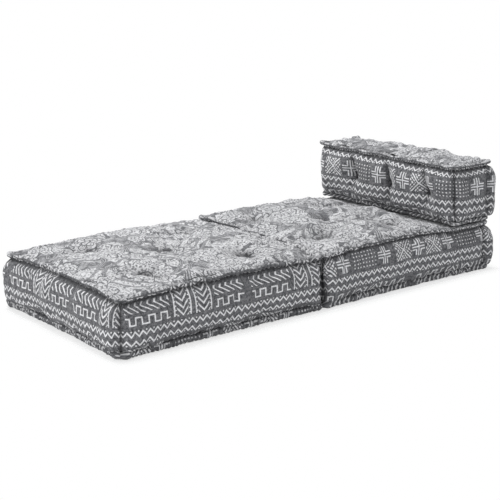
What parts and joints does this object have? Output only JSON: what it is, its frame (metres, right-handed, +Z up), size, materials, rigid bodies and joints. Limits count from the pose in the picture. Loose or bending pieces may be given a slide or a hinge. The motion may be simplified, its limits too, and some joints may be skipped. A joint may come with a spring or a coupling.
{
  "type": "modular sofa",
  "caption": "Folding floor sofa of stuffed, tufted cotton cushions: a foot mattress that folds under the seat and a back block hinged on its head end.",
  "frame": {"origin": "middle of the sofa's footprint, on the floor", "axes": "+X from the foot to the head, +Y to a sitter's right across the sofa, +Z up"},
  "size_m": [1.4286, 0.626, 0.3655],
  "materials": {
    "floral_cloth": "printed cotton canvas, grey with pale floral medallions",
    "banded_cloth": "printed cotton canvas, grey with pale geometric bands",
    "roll_cloth": "printed cotton canvas rolled and stitched round cotton",
    "under_cloth": "printed cotton canvas",
    "strip_cloth": "plain dark cotton canvas",
    "cotton_filling": "loose cotton wadding",
    "twine": "waxed cotton twine"
  },
  "bodies": {
    "seat": {"seat_top_panel": "floral_cloth", "seat_bottom_panel": "under_cloth", "seat_top_roll": "roll_cloth", "seat_bottom_roll": "roll_cloth", "seat_filling": "cotton_filling", "seat_left_side": "banded_cloth", "seat_head_end": "banded_cloth", "seat_right_side": "banded_cloth", "seat_inner_end": "banded_cloth", "seat_tuft_twines": "twine", "seat_tuft_knots": "twine", "seat_fold_leaf": "strip_cloth", "seat_back_leaf": "strip_cloth"},
    "foot": {"foot_top_panel": "floral_cloth", "foot_bottom_panel": "under_cloth", "foot_top_roll": "roll_cloth", "foot_bottom_roll": "roll_cloth", "foot_filling": "cotton_filling", "foot_left_side": "banded_cloth", "foot_inner_end": "banded_cloth", "foot_right_side": "banded_cloth", "foot_toe_end": "banded_cloth", "foot_tuft_twines": "twine", "foot_tuft_knots": "twine", "foot_fold_leaf": "strip_cloth"},
    "back": {"back_top_panel": "floral_cloth", "back_bottom_panel": "under_cloth", "back_top_roll": "roll_cloth", "back_bottom_roll": "roll_cloth", "back_filling": "cotton_filling", "back_left_end": "banded_cloth", "back_rear": "banded_cloth", "back_right_end": "banded_cloth", "back_front": "banded_cloth", "back_tuft_twines": "twine", "back_tuft_knots": "twine", "back_fold_leaf": "strip_cloth"}
  },
  "joints": [
    {"name": "foot_fold", "type": "hinge", "parent": "seat", "child": "foot", "pos_m": [-0.015, 0, -0.0004], "axis": [0, -1, 0], "range_deg": [0, 180]},
    {"name": "backrest_fold", "type": "hinge", "parent": "seat", "child": "back", "pos_m": [0.70125, 0, 0.15925], "axis": [0, 1, 0], "range_deg": [0, 140]}
  ]
}
